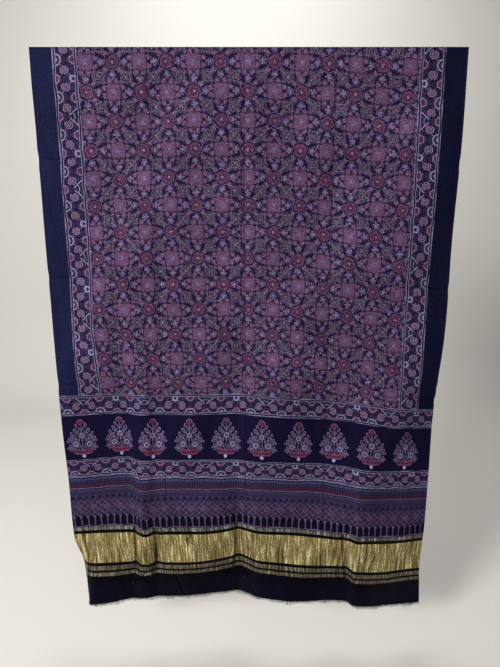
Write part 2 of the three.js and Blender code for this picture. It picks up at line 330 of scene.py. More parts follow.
class Hang:
    """Where each thread of the hanging cloth lies. The cloth keeps its woven width round every fold."""

    def __init__(self):
        half = -FOLDS[0][1]
        self.measure = np.arange(-half, half + 1, MEASURE_STEP, dtype=float)
        self.levels = np.arange(0, LEVEL_LAST, LEVEL_STEP, dtype=float)
        across, down = np.meshgrid(self.measure, self.levels)
        depth = hang_depth(across, down)
        slope = np.clip(np.diff(depth, axis=1) / MEASURE_STEP, -STEEPEST, STEEPEST)
        steps = MEASURE_STEP * np.sqrt(1 - slope**2)
        sideways = np.concatenate([np.zeros((len(self.levels), 1)), np.cumsum(steps, axis=1)], axis=1)
        still = np.array([np.interp(STILL_LINE, self.measure, row) for row in sideways])
        self.sideways = sideways - still[:, None] + STILL_LINE

    def place_sideways(self, across, down):
        column = np.clip((across - self.measure[0]) / MEASURE_STEP, 0, len(self.measure) - 1.001)
        level = np.clip(down / LEVEL_STEP, 0, len(self.levels) - 1.001)
        i, j = level.astype(int), column.astype(int)
        s, t = level - i, column - j
        upper = self.sideways[i, j] * (1 - t) + self.sideways[i, j + 1] * t
        lower = self.sideways[i + 1, j] * (1 - t) + self.sideways[i + 1, j + 1] * t
        return upper * (1 - s) + lower * s

    def points(self, across, weft):
        """The middle of the sheet in metres, and the print's own measure down the cloth."""
        down = weft + sag_at(across, weft) * smooth_between(0, SAG_BLEND, weft)
        printed = down
        for _ in range(4):
            printed = down - sag_at(across, printed)
        forward = hang_depth(across, down) + wrinkle_height(across, down)
        places = np.stack([self.place_sideways(across, down), -forward, -down], axis=-1)
        return places * MM, printed * MM


def share_out(start, stop, count, weight):
    """Places from start to stop, closer together where the weight is higher."""
    fine = np.linspace(start, stop, 4000)
    run = np.concatenate([[0], np.cumsum((weight(fine[1:]) + weight(fine[:-1])) / 2)])
    return np.interp(np.linspace(0, run[-1], count + 1), run, fine)


def column_weight(across):
    weight = np.ones_like(across)
    for _, place, _, soft in FOLDS:
        weight = weight + 1.1 * trough(across - place, 2.2 * soft) * (soft <= 10)
    return weight


def row_weight(weft):
    return 1 + 0.8 * smooth_between(900, 1300, weft)


def snap(places, lines):
    """Moves the nearest inner place onto each line, so that a cell's edge runs along it."""
    for line in lines:
        places[1 + np.abs(places[1:-1] - line).argmin()] = line
    return places


def deselect_all():
    bpy.ops.object.select_all(action="DESELECT")


# Lines of the print in millimetres: half widths of the field and of its side borders,
# and the levels where the bands of the end begin.
FIELD_HALF = 456
BORDER_HALF = 521
FIELD_END = 953
CREEPER_END = 1016
TREES_END = 1162
SECOND_CREEPER_END = 1218
GOLD_START = 1390
LENGTH_DOWN = 1640

# Places of the materials on the sheet.
FIELD, SIDE, CROSS, MARGIN, TREES, COMB, GOLD = range(7)


def zone_of(across, printed):
    """Which printed zone a cell of the cloth belongs to."""
    apart = abs(across)
    if printed > GOLD_START:
        return GOLD
    if printed > SECOND_CREEPER_END:
        return COMB
    if printed > TREES_END:
        return CROSS
    if printed > CREEPER_END:
        return TREES
    if printed > FIELD_END:
        return CROSS
    if apart > BORDER_HALF:
        return MARGIN
    return FIELD if apart < FIELD_HALF else SIDE


def plain_material(name, colour, gloss=0.15):
    material = bpy.data.materials.new(name)
    material.use_nodes = True
    shader = material.node_tree.nodes["Principled BSDF"]
    shader.inputs["Base Color"].default_value = (*colour, 1)
    shader.inputs["Roughness"].default_value = 0.8
    shader.inputs["Specular IOR Level"].default_value = gloss
    return material


class Wire:
    """A number or a place carried by a node's socket, with ordinary arithmetic for numbers."""

    def __init__(self, board, socket):
        self.board = board
        self.socket = socket

    def __add__(self, other):
        return self.board.number("ADD", self, other)

    def __radd__(self, other):
        return self.board.number("ADD", other, self)

    def __sub__(self, other):
        return self.board.number("SUBTRACT", self, other)

    def __rsub__(self, other):
        return self.board.number("SUBTRACT", other, self)

    def __mul__(self, other):
        return self.board.number("MULTIPLY", self, other)

    def __rmul__(self, other):
        return self.board.number("MULTIPLY", other, self)

    def __truediv__(self, other):
        return self.board.number("DIVIDE", self, other)


class Board:
    """Adds nodes to one node tree and links them."""

    rows = 12
    column_gap = 190
    row_gap = 170

    def __init__(self, tree):
        self.tree = tree
        self.count = 0

    def node(self, kind, **settings):
        node = self.tree.nodes.new(kind)
        node.location = (self.count // self.rows * self.column_gap, -(self.count % self.rows) * self.row_gap)
        self.count += 1
        for name, value in settings.items():
            setattr(node, name, value)
        return node

    def feed(self, socket, value):
        if isinstance(value, Wire):
            self.tree.links.new(value.socket, socket)
        else:
            socket.default_value = value

    def number(self, operation, *values):
        node = self.node("ShaderNodeMath", operation=operation)
        for socket, value in zip(node.inputs, values):
            self.feed(socket, value)
        return Wire(self, node.outputs[0])

    def place(self, operation, *values):
        """Arithmetic on places. A length, a distance or a product comes back as a number."""
        node = self.node("ShaderNodeVectorMath", operation=operation)
        for socket, value in zip(node.inputs, values):
            self.feed(socket, value)
        scalar = operation in ("LENGTH", "DISTANCE", "DOT_PRODUCT")
        return Wire(self, node.outputs["Value" if scalar else "Vector"])

    def split(self, place):
        node = self.node("ShaderNodeSeparateXYZ")
        self.feed(node.inputs[0], place)
        return Wire(self, node.outputs[0]), Wire(self, node.outputs[1])

    def join(self, x, y):
        node = self.node("ShaderNodeCombineXYZ")
        self.feed(node.inputs[0], x)
        self.feed(node.inputs[1], y)
        return Wire(self, node.outputs[0])

    def smaller(self, *values):
        least = values[0]
        for value in values[1:]:
            least = self.number("MINIMUM", least, value)
        return least

    def larger(self, first, second):
        return self.number("MAXIMUM", first, second)

    def disc(self, place, x, y, radius):
        """Distance from a centre, 1 at the radius."""
        return self.place("DISTANCE", place, (x, y, 0)) / radius

    def leaf(self, place, x, y, half_width, half_height, turn=0):
        """Distance from the centre of a turned oval, 1 at its edge. The turn is in degrees."""
        node = self.node("ShaderNodeMapping", vector_type="TEXTURE")
        self.feed(node.inputs["Vector"], place)
        node.inputs["Location"].default_value = (x, y, 0)
        node.inputs["Rotation"].default_value = (0, 0, math.radians(turn))
        node.inputs["Scale"].default_value = (half_width, half_height, 1)
        return self.place("LENGTH", Wire(self, node.outputs[0]))

    def line(self, place, start, end, half_width):
        """Distance from a straight line with round ends, 1 at its half width."""
        run = (end[0] - start[0], end[1] - start[1], 0)
        square = run[0] ** 2 + run[1] ** 2
        from_start = self.place("SUBTRACT", place, (*start, 0))
        share = self.place("DOT_PRODUCT", from_start, tuple(part / square for part in run))
        clamped = self.node("ShaderNodeClamp")
        self.feed(clamped.inputs[0], share)
        spread = self.node("ShaderNodeVectorMath", operation="SCALE")
        spread.inputs[0].default_value = run
        self.feed(spread.inputs["Scale"], Wire(self, clamped.outputs[0]))
        return self.place("DISTANCE", from_start, Wire(self, spread.outputs[0])) / half_width

    def below(self, value, edge, soft):
        """1 where the value is under the edge, 0 above it, with a soft step between."""
        return self.reach(value, edge + soft, edge - soft)

    def reach(self, value, none, full):
        """0 where the value is at none or beyond, 1 where it is at full or beyond."""
        node = self.node("ShaderNodeMapRange", interpolation_type="SMOOTHSTEP")
        self.feed(node.inputs["Value"], value)
        backwards = none > full
        node.inputs["From Min"].default_value = full if backwards else none
        node.inputs["From Max"].default_value = none if backwards else full
        node.inputs["To Min"].default_value = 1 if backwards else 0
        node.inputs["To Max"].default_value = 0 if backwards else 1
        return Wire(self, node.outputs[0])

    def ramp(self, value, stops, steps="LINEAR"):
        """A colour for each value, from stops of place, colour and cover."""
        node = self.node("ShaderNodeValToRGB")
        ramp = node.color_ramp
        ramp.interpolation = steps
        while len(ramp.elements) < len(stops):
            ramp.elements.new(0.5)
        for element, (at, colour, cover) in zip(ramp.elements, stops):
            element.position = at
            element.color = (*colour, cover)
        self.feed(node.inputs[0], value)
        return Wire(self, node.outputs["Color"]), Wire(self, node.outputs["Alpha"])

    def paint(self, under, over, mask):
        """Lays one colour over another where the mask is 1."""
        node = self.node("ShaderNodeMix", data_type="RGBA")
        self.feed(node.inputs[0], mask)
        self.feed(node.inputs[6], under if isinstance(under, Wire) else (*under, 1))
        self.feed(node.inputs[7], over if isinstance(over, Wire) else (*over, 1))
        return Wire(self, node.outputs[2])

    def tone(self, colour, factor):
        """A colour made lighter or darker by a number."""
        node = self.node("ShaderNodeVectorMath", operation="SCALE")
        self.feed(node.inputs[0], colour)
        self.feed(node.inputs["Scale"], factor)
        return Wire(self, node.outputs[0])

    def noise(self, place, scale, detail=2.0, roughness=0.5, distortion=0.0):
        node = self.node("ShaderNodeTexNoise", noise_dimensions="2D")
        self.feed(node.inputs["Vector"], place)
        node.inputs["Scale"].default_value = scale
        node.inputs["Detail"].default_value = detail
        node.inputs["Roughness"].default_value = roughness
        node.inputs["Distortion"].default_value = distortion
        return Wire(self, node.outputs[0])

    def group(self, tree, **values):
        """Places a node group and returns its outputs by name."""
        node = self.node("ShaderNodeGroup", node_tree=tree)
        for name, value in values.items():
            self.feed(node.inputs[name.replace("_", " ").capitalize()], value)
        return {output.name: Wire(self, output) for output in node.outputs}


SOCKETS = {"place": "NodeSocketVector", "colour": "NodeSocketColor", "number": "NodeSocketFloat"}


def new_group(name, inputs, outputs):
    """An empty node group with named inputs and outputs, and a board to fill it."""
    tree = bpy.data.node_groups.new(name, "ShaderNodeTree")
    for label, kind in inputs:
        tree.interface.new_socket(label, in_out="INPUT", socket_type=SOCKETS[kind])
    for label, kind in outputs:
        tree.interface.new_socket(label, in_out="OUTPUT", socket_type=SOCKETS[kind])
    board = Board(tree)
    entry = board.node("NodeGroupInput")
    exit_node = board.node("NodeGroupOutput")
    given = {label: Wire(board, entry.outputs[label]) for label, _ in inputs}

    def put_out(**values):
        for label, value in values.items():
            board.feed(exit_node.inputs[label.replace("_", " ").capitalize()], value)

    return tree, board, given, put_out


# The print's own measures, in millimetres on the flat cloth.
CELL_ACROSS = 72
CELL_DOWN = 73.4
CELL_START = (3, 39.4)
CREEPER_STEP = 93.4
CREEPER_ACROSS_START = 50.4
CREEPER_DOWN_START = -20
CREEPER_WIDE = 62
TREE_PITCH = 112.95
TREE_START = 38.8
TREE_ROOT = 1158
TREE_NARROWING = 1.07
TOOTH_PITCH = 6.7
TRIANGLE_PITCH = 20.3
LANCET_START = 98


def rings(reach, *bands):
    """Stops for a ramp whose whole length is reach. A band is where it starts and ends, and its colour."""
    stops = []
    for start, stop, colour in bands:
        stops.append((start / reach, colour, 1))
        stops.append((stop / reach, colour, 1))
    last = stops[-1]
    stops.append((min(1, last[0] + 0.03), last[1], 0))
    return stops


def leafwork(board, at, scale, fills, dyes, outline, seed):
    """Small printed leaves with pale outlines and dark gaps, the ground between the motifs."""
    spread = board.place("MULTIPLY_ADD", at, (scale, scale, 0), (seed, seed / 2, 0))
    edge = board.node("ShaderNodeTexVoronoi", voronoi_dimensions="2D", feature="DISTANCE_TO_EDGE")
    body = board.node("ShaderNodeTexVoronoi", voronoi_dimensions="2D", feature="F1")
    for texture in (edge, body):
        board.feed(texture.inputs["Vector"], spread)
        texture.inputs["Scale"].default_value = 1
    chance, _ = board.split(Wire(board, body.outputs["Color"]))
    width = 1 / len(fills)
    stops = []
    for i, fill in enumerate(fills):
        stops += [((i + 0.08) * width, fill, 1), ((i + 0.92) * width, fill, 1)]
    fill, _ = board.ramp(chance, stops)
    tint, cover = board.ramp(Wire(board, edge.outputs["Distance"]), [
        (0.0, dyes.dark, 1), (0.1, dyes.dark, 1), (0.15, outline, 0.8), (0.2, outline, 0.6),
        (0.26, outline, 0),
    ])
    return board.paint(fill, tint, cover)


def waver(board, place, scale=0.022, reach=7):
    """Moves the print a little from place to place, as hand blocks do. The reach is in millimetres."""
    texture = board.node("ShaderNodeTexNoise", noise_dimensions="2D")
    board.feed(texture.inputs["Vector"], place)
    texture.inputs["Scale"].default_value = scale
    texture.inputs["Detail"].default_value = 2
    middle = -reach / 2
    shift = board.place(
        "MULTIPLY_ADD", Wire(board, texture.outputs["Color"]), (reach, reach, 0), (middle, middle, 0),
    )
    return board.place("ADD", place, shift)


def border_place(board, place, down_the_side):
    """The border's own measures: how far along it, and how far across it from its inner line."""
    across, down = board.split(place)
    if down_the_side:
        from_field = board.number("ABSOLUTE", across) - FIELD_HALF
        return down - CREEPER_DOWN_START, from_field * (CREEPER_WIDE / (BORDER_HALF - FIELD_HALF))
    second = board.number("GREATER_THAN", down, TREES_END - 1)
    first_inside = (down - FIELD_END) * (CREEPER_WIDE / (CREEPER_END - FIELD_END))
    second_inside = (down - TREES_END) * (CREEPER_WIDE / (SECOND_CREEPER_END - TREES_END))
    return across - CREEPER_ACROSS_START, first_inside + (second_inside - first_inside) * second


def field_group(dyes):
    """The allover print: rosettes, squares and stars that mirror about each cell's sides and corners."""
    tree, board, given, put_out = new_group("Field print", [("Place", "place")], [("Colour", "colour")])
    place = waver(board, waver(board, given["Place"]), scale=0.11, reach=9)
    cells = board.place(
        "MULTIPLY_ADD", place, (1 / CELL_ACROSS, 1 / CELL_DOWN, 0),
        (CELL_START[0] / CELL_ACROSS, CELL_START[1] / CELL_DOWN, 0),
    )
    across, down = board.split(cells)
    across = board.number("PINGPONG", across, 1)
    down = board.number("PINGPONG", down, 1)
    over = board.larger(across + down - 1, 0)
    first, second = across - over, down - over
    x, y = board.larger(first, second), board.smaller(first, second)
    at = board.join(x, y)

    fills = (dyes.dark, dyes.mauve, dyes.rose, dyes.dark, dyes.mauve, dyes.lilac, dyes.ground, dyes.madder)
    colour = leafwork(board, at, 7.5, fills, dyes, dyes.outline, 3.7)

    bar = board.line(at, (0.305, 0.135), (0.565, 0.25), 0.048)
    edge, cover = board.ramp(bar * 0.5, [
        (0, dyes.gap, 1), (0.5, dyes.gap, 1), (0.58, dyes.outline, 0.7), (0.7, dyes.outline, 0),
    ])
    colour = board.paint(colour, edge, cover)

    square = 1 - x + y * y * 0.3
    tint, cover = board.ramp(square / 0.3, rings(
        0.3, (0, 0.035, dyes.lines), (0.05, 0.06, dyes.mauve), (0.08, 0.1, dyes.lilac),
        (0.115, 0.13, dyes.mauve),
        (0.15, 0.19, dyes.rose), (0.205, 0.22, dyes.mauve), (0.235, 0.242, dyes.outline),
        (0.256, 0.268, dyes.maroon),
    ))
    colour = board.paint(colour, tint, cover * 0.72)

    middle = 0.5 - y
    aside = board.number("ABSOLUTE", x - 0.5)
    blossom = middle + aside * aside * 0.5
    tint, cover = board.ramp(blossom / 0.2, rings(
        0.2, (0, 0.02, dyes.lines), (0.035, 0.05, dyes.dark), (0.065, 0.09, dyes.ochre),
        (0.1, 0.125, dyes.dark),
        (0.14, 0.155, dyes.olive), (0.172, 0.182, dyes.dark),
    ))
    colour = board.paint(colour, tint, cover * 0.9)

    turn = board.number("ARCTAN2", y, x - 0.43)
    petals = board.number("COSINE", turn * 5) * 0.3 + 1
    star = board.disc(at, 0.43, 0, 0.104) / petals
    tint, cover = board.ramp(star / 1.5, rings(
        1.5, (0, 0.12, dyes.madder), (0.2, 0.3, dyes.lines), (0.36, 0.7, dyes.lilac),
        (0.78, 0.86, dyes.outline),
        (0.98, 1.32, dyes.gap),
    ))
    colour = board.paint(colour, tint, cover)

    bud = board.disc(at, 0.634, 0.13, 0.07)
    leaf = board.leaf(at, 0.285, 0.285, 0.08, 0.055, 45)
    tint, cover = board.ramp(board.smaller(bud, leaf) / 1.4, rings(
        1.4, (0, 0.16, dyes.maroon), (0.3, 0.66, dyes.rose), (0.78, 0.9, dyes.outline),
        (1.04, 1.2, dyes.dark),
    ))
    colour = board.paint(colour, tint, cover)

    round_turn = board.number("ARCTAN2", y, x)
    scallops = board.number("COSINE", round_turn * 8) * -0.035 + 1
    rosette = board.place("LENGTH", at) * scallops
    tint, cover = board.ramp(rosette / 0.34, rings(
        0.34, (0, 0.02, dyes.lines), (0.034, 0.056, dyes.olive), (0.07, 0.088, dyes.gap),
        (0.1, 0.116, dyes.madder),
        (0.13, 0.145, dyes.gap), (0.156, 0.164, dyes.rose), (0.178, 0.19, dyes.gap), (0.2, 0.212, dyes.rose),
        (0.23, 0.28, dyes.gap), (0.292, 0.3, dyes.outline),
    ))
    colour = board.paint(colour, tint, cover)

    dark_spots = board.smaller(
        board.disc(at, 0.642, 0, 0.04), board.disc(at, 0.53, 0.087, 0.024), board.disc(at, 0.5, 0.4, 0.03),
        board.disc(at, 0.747, 0.253, 0.042), board.disc(at, 0.262, 0.04, 0.016),
        board.disc(at, 0.4, 0.235, 0.026),
    )
    colour = board.paint(colour, dyes.gap, board.below(dark_spots, 1, 0.15))
    pale_spots = board.smaller(
        board.disc(at, 0.55, 0, 0.02), board.disc(at, 0.448, 0.112, 0.018),
        board.disc(at, 0.29, 0.21, 0.015),
        board.disc(at, 0.39, 0.335, 0.015), board.disc(at, 0.69, 0.2, 0.013),
    )
    colour = board.paint(colour, dyes.lines, board.below(pale_spots, 1, 0.2))
    crackle = board.node("ShaderNodeTexVoronoi", voronoi_dimensions="2D", feature="DISTANCE_TO_EDGE")
    board.feed(crackle.inputs["Vector"], place)
    crackle.inputs["Scale"].default_value = 0.16
    cracks = board.below(Wire(board, crackle.outputs["Distance"]), 0.09, 0.06)
    colour = board.paint(colour, dyes.gap, cracks * 0.5)
    wear = board.noise(place, 0.055, detail=3, roughness=0.6)
    put_out(Colour=board.paint(colour, dyes.worn, board.reach(wear, 0.5, 0.75) * 0.4))
    return tree


def creeper_group(dyes, name, down_the_side):
    """The border: lotus and arch in turn along one edge, flowers along the other, and a vine between."""
    tree, board, given, put_out = new_group(name, [("Place", "place")], [("Colour", "colour")])
    along, across = border_place(board, waver(board, given["Place"]), down_the_side)
    along = board.number("PINGPONG", along, CREEPER_STEP)
    half_step = CREEPER_STEP / 2
    beside_arch = board.number("ABSOLUTE", along - half_step)
    beside_lotus = half_step - beside_arch
    bell_side = board.number("GREATER_THAN", along, half_step)
    from_arch = board.join(beside_arch, across)
    from_lotus = board.join(beside_lotus, across)

    fills = (dyes.gap, dyes.teal, dyes.gap, dyes.border_fill, dyes.gap, dyes.teal, dyes.gap)
    colour = leafwork(board, from_arch, 0.135, fills, dyes, dyes.border_fill, 8.3)

    vine = board.number("COSINE", along * (2 * math.pi / CREEPER_STEP)) * -15 + 31
    stem = board.number("ABSOLUTE", across - vine)
    tint, cover = board.ramp(stem / 6, [
        (0, dyes.border_line, 1), (0.12, dyes.border_line, 1), (0.24, dyes.dark, 0.9), (0.4, dyes.dark, 0),
    ])
    colour = board.paint(colour, tint, cover)

    flower = board.disc(from_lotus, 21, 33, 11)
    turn = board.number("ARCTAN2", across - 33, beside_lotus - 21)
    flower = flower * (board.number("COSINE", turn * 8) * 0.035 + 1)
    tint, cover = board.ramp(flower / 1.3, rings(
        1.3, (0, 0.1, dyes.border_line), (0.18, 0.3, dyes.gap), (0.38, 0.48, dyes.border_line),
        (0.56, 0.62, dyes.gap),
        (0.68, 0.78, dyes.border_red), (0.88, 0.94, dyes.border_line), (1.04, 1.22, dyes.gap),
    ))
    colour = board.paint(colour, tint, cover)

    arch = board.disc(from_arch, 0, 56, 16)
    tint, cover = board.ramp(arch / 1.15, rings(
        1.15, (0, 0.1, dyes.dark), (0.2, 0.3, dyes.border_line), (0.44, 0.68, dyes.dark),
        (0.8, 0.93, dyes.border_line),
        (1.02, 1.1, dyes.dark),
    ))
    colour = board.paint(colour, tint, cover)

    fan_turn = board.number("ARCTAN2", across - 9, beside_arch)
    fan = board.disc(from_arch, 0, 9, 11.5) * (board.number("COSINE", fan_turn * 9) * 0.08 + 1)
    lotus_turn = board.number("ARCTAN2", across - 56, beside_lotus)
    lotus = board.disc(from_lotus, 0, 56, 12) * (board.number("COSINE", lotus_turn * 9) * 0.08 + 1)
    tint, cover = board.ramp(board.smaller(fan, lotus) / 1.25, rings(
        1.25, (0, 0.2, dyes.maroon), (0.3, 0.44, dyes.border_fill), (0.52, 0.58, dyes.maroon),
        (0.66, 0.8, dyes.border_red), (0.88, 0.96, dyes.border_line), (1.06, 1.16, dyes.dark),
    ))
    colour = board.paint(colour, tint, cover)

    gaps = board.smaller(
        board.leaf(from_lotus, 9, 34, 4.5, 3, 30), board.leaf(from_arch, 8, 28, 4.5, 3.2, -25),
        board.leaf(from_lotus, 22, 49, 4.5, 2.6, 0),
    )
    colour = board.paint(colour, dyes.gap, board.below(gaps, 1, 0.25))

    chevron = board.line(from_lotus, (4, 28), (22, 9), 1.1)
    bell = board.number("ABSOLUTE", board.disc(from_lotus, 0, 13, 7) - 1) * 4
    crown = board.smaller(chevron + bell_side * 9, bell + 9 - bell_side * 9)
    tint, cover = board.ramp(crown / 2.6, [
        (0, dyes.border_bright, 1), (0.3, dyes.border_bright, 1), (0.46, dyes.dark, 0.9),
        (0.75, dyes.dark, 0),
    ])
    colour = board.paint(colour, tint, cover)

    tint, cover = board.ramp(across / CREEPER_WIDE, edge_lines(dyes))
    colour = board.paint(colour, tint, cover)
    put_out(Colour=colour)
    return tree


def edge_lines(dyes):
    """The pair of pale lines along both edges of a border, as stops across it."""
    stops = [
        (0.0, dyes.border_line, 1), (0.022, dyes.border_line, 1), (0.034, dyes.gap, 1), (0.088, dyes.gap, 1),
        (0.098, dyes.border_line, 1), (0.116, dyes.border_line, 1), (0.126, dyes.border_line, 0),
    ]
    return stops + [(1 - at, tint, cover) for at, tint, cover in reversed(stops)]


# The tree of the end, in millimetres: how far beside its axis, how far above its root,
# half width, half height and how far it leans out in degrees. The other half is its mirror image.
TREE_LEAVES = (
    ("curl", 14, 109, 3.8, 6.5, 22),
    ("collar", 5.5, 99, 3, 5, 20),
    ("upper leaf", 19.5, 93, 5.6, 9, 28),
    ("upper leaf low", 10.5, 88, 3.2, 5.5, 45),
    ("tall leaf", 32, 80, 4, 9.5, 12),
    ("tall leaf low", 22.5, 74, 3.4, 7, 24),
    ("side petal up", 38, 66, 4.2, 6.5, 20),
    ("side petal out", 42, 58, 4, 6, 80),
    ("side petal in", 33, 58, 4, 6.5, 60),
    ("low petal up", 37.5, 43, 3.8, 6, 20),
    ("low petal out", 42, 36, 3.4, 5.5, 90),
    ("low petal down", 35, 31, 3.4, 5.5, 140),
    ("inner leaf", 11.5, 62, 2.4, 6.5, 22),
    ("inner leaf low", 7.5, 44, 2.2, 6, 30),
)
TREE_ROSETTES = (("upper rosette", 0, 76, 8.2), ("lower rosette", 20.3, 48, 8.8))
TREE_PINKS = (
    ("bud", 0, 116, 4.6, 7, 0),
    ("outer petal", 22, 24, 6.5, 9.5, 34),
    ("middle petal", 12, 23, 5.5, 9.5, 18),
    ("inner petal", 3.5, 22, 4, 8.5, 8),
)
TREE_DOTS = (
    (5.5, 87), (11, 77), (5.5, 66), (9.5, 53), (9.5, 43), (15, 37), (26, 37), (32, 46), (26, 59), (15, 59),
)
TREE_SPARKS = ((20.5, 65), (0, 61), (0, 93), (30, 69))


def tree_group(dyes):
    """The flowering tree, repeated across the end band."""
    tree, board, given, put_out = new_group("Tree print", [("Place", "place")], [("Colour", "colour")])
    across, down = board.split(waver(board, given["Place"]))
    inside = board.smaller(across, TREE_START + 4.5 * TREE_PITCH)
    beside = board.number("PINGPONG", inside - TREE_START, TREE_PITCH / 2) * TREE_NARROWING
    above = TREE_ROOT - down
    at = board.join(beside, above)

    stems = board.smaller(
        board.line(at, (0, 12), (0, 66), 0.8), board.line(at, (3, 28), (18, 66), 0.7),
        board.line(at, (12, 36), (7, 70), 0.7),
        board.line(at, (0, 84), (0, 108), 0.9), board.line(at, (12, 86), (27, 62), 0.7),
        board.line(at, (31, 40), (30, 66), 0.7),
        board.line(at, (17, 28), (34, 40), 0.7),
    )
    colour = board.paint(dyes.end_ground, dyes.outline, board.below(stems, 1.15, 0.4))

    shapes = [board.leaf(at, *row[1:5], -row[5]) for row in TREE_LEAVES]
    tint, cover = board.ramp(board.smaller(*shapes) / 1.2, rings(
        1.2, (0, 0.12, dyes.dark), (0.26, 0.66, dyes.leaf), (0.84, 1.0, dyes.leaf_line),
    ))
    colour = board.paint(colour, tint, cover)

    flowers = [board.disc(at, *row[1:4]) for row in TREE_ROSETTES]
    tint, cover = board.ramp(board.smaller(*flowers) / 1.7, rings(
        1.7, (0, 0.2, dyes.outline), (0.3, 0.5, dyes.gap), (0.66, 0.92, dyes.lines), (1.06, 1.24, dyes.gap),
        (1.34, 1.44, dyes.outline),
    ))
    colour = board.paint(colour, tint, cover)

    pinks = [board.leaf(at, *row[1:5], -row[5]) for row in TREE_PINKS]
    tint, cover = board.ramp(board.smaller(*pinks) / 1.25, rings(
        1.25, (0, 0.34, dyes.gap), (0.5, 0.66, dyes.madder), (0.76, 0.82, dyes.gap), (0.9, 1.04, dyes.rose),
    ))
    colour = board.paint(colour, tint, cover)

    hood = board.disc(at, 0, 118, 11.5)
    tint, cover = board.ramp(hood / 1.1, [
        (0, dyes.rose, 0), (0.62, dyes.rose, 0), (0.7, dyes.rose, 1), (0.86, dyes.rose, 1),
        (0.95, dyes.gap, 0),
    ])
    colour = board.paint(colour, tint, cover * board.reach(above, 113, 118))

    dots = board.smaller(*[board.disc(at, x, y, 1.9) for x, y in TREE_DOTS])
    colour = board.paint(colour, dyes.gap, board.below(dots, 1, 0.2))
    sparks = board.smaller(*[board.disc(at, x, y, 1.8) for x, y in TREE_SPARKS])
    colour = board.paint(colour, dyes.lines, board.below(sparks, 1, 0.3))
    root = board.larger(board.disc(at, 0, 8, 5.6), beside * 0.19 + (7 - above) * 0.12)
    colour = board.paint(colour, dyes.bright, board.below(root, 1, 0.08))
    put_out(Colour=colour)
    return tree


def comb_group(dyes):
    """The narrow bands of the end: lines, teeth, triangles, a dotted lattice and a row of lancets."""
    tree, board, given, put_out = new_group("Comb print", [("Place", "place")], [("Colour", "colour")])
    across, down = board.split(waver(board, given["Place"]))
    top, bottom = SECOND_CREEPER_END, GOLD_START
    stripes = (
        (1218, dyes.gap), (1219, dyes.lines), (1221, dyes.lines), (1222, dyes.gap), (1225, dyes.gap),
        (1226, dyes.slate),
        (1232, dyes.slate), (1234, dyes.end_ground), (1242, dyes.end_ground), (1246, dyes.redband),
        (1258, dyes.redband),
        (1259, dyes.outline), (1260.5, dyes.outline), (1262, dyes.gap), (1264, dyes.gap), (1266, dyes.slate),
        (1272, dyes.violet), (1284, dyes.violet), (1287, dyes.slate), (1291, dyes.violet),
        (1348, dyes.violet),
        (1354, dyes.lancet), (1387, dyes.lancet), (1389, dyes.outline), (1390, dyes.outline),
    )
    tall = bottom - top
    colour, _ = board.ramp((down - top) / tall, [((level - top) / tall, tint, 1) for level, tint in stripes])
    grain = board.noise(board.join(across * 0.35, down * 0.5), 1.0, detail=1)
    colour = board.paint(
        colour, dyes.gap, board.reach(grain, 0.42, 0.68) * board.below(down, 1352, 1.0) * 0.75,
    )

    tooth = board.number("PINGPONG", across, TOOTH_PITCH / 2)
    tooth_edge = board.number("ABSOLUTE", down - 1238.5) * 0.45 + tooth
    colour = board.paint(colour, dyes.slate, board.below(tooth_edge, 2.2, 0.5) * 0.8)

    tick = board.number("PINGPONG", across, 1.9)
    tick_mask = board.below(tick, 0.8, 0.3) * board.below(board.number("ABSOLUTE", down - 1252), 6, 0.5)
    colour = board.paint(colour, dyes.gap, tick_mask * 0.7)

    wide = board.number("PINGPONG", across - LANCET_START, TRIANGLE_PITCH / 2)
    fall = down - 1286
    inside = board.below(wide + fall * 0.5, 6.4, 0.5) * board.below(1286 - down, 0, 0.5)
    colour = board.paint(colour, dyes.gap, inside)

    lattice_in = board.below(board.number("ABSOLUTE", down - 1326), 26, 1.5)
    cross = board.number("PINGPONG", across + down, TRIANGLE_PITCH / 2)
    other = board.number("PINGPONG", across - down, TRIANGLE_PITCH / 2)
    net = board.below(board.smaller(cross, other), 1.2, 0.6) * lattice_in
    dash = board.below(board.number("PINGPONG", across, 1.6), 1.0, 0.3)
    colour = board.paint(colour, dyes.outline, net * dash * 0.8)
    off_row = board.number("ABSOLUTE", down - 1323)
    centre = board.number("PINGPONG", across - LANCET_START, TRIANGLE_PITCH) + off_row
    tint, cover = board.ramp(centre / 16, [
        (0, dyes.rose, 1), (0.12, dyes.rose, 1), (0.2, dyes.maroon, 1), (0.42, dyes.redband, 0.9),
        (0.54, dyes.outline, 0.6),
        (0.62, dyes.outline, 0.5), (0.72, dyes.violet, 0),
    ])
    colour = board.paint(colour, tint, cover)

    stem = board.number("PINGPONG", across - LANCET_START, TRIANGLE_PITCH / 2)
    high = board.larger(1366 - down, 0)
    spread = stem - high * high * 0.03
    stem_tall = board.below(0 - down, -1353, 0.8) * board.below(down, 1388, 0.5)
    stem_mask = board.below(spread, 1.7, 0.6) * stem_tall
    colour = board.paint(colour, dyes.outline, stem_mask * 0.55)
    put_out(Colour=colour)
    return tree


# The woven gold of the end: name, where each stripe starts and ends in millimetres down the cloth,
# and its brightness.
GOLD_STRIPES = (
    ("upper narrow", 1393, 1405, "silver"),
    ("wide", 1416, 1518, "full_gold"),
    ("lower narrow one", 1529, 1542, "dull_gold"),
    ("lower narrow two", 1549, 1560, "dull_gold"),
)
STRIPE_SOFT = 0.6
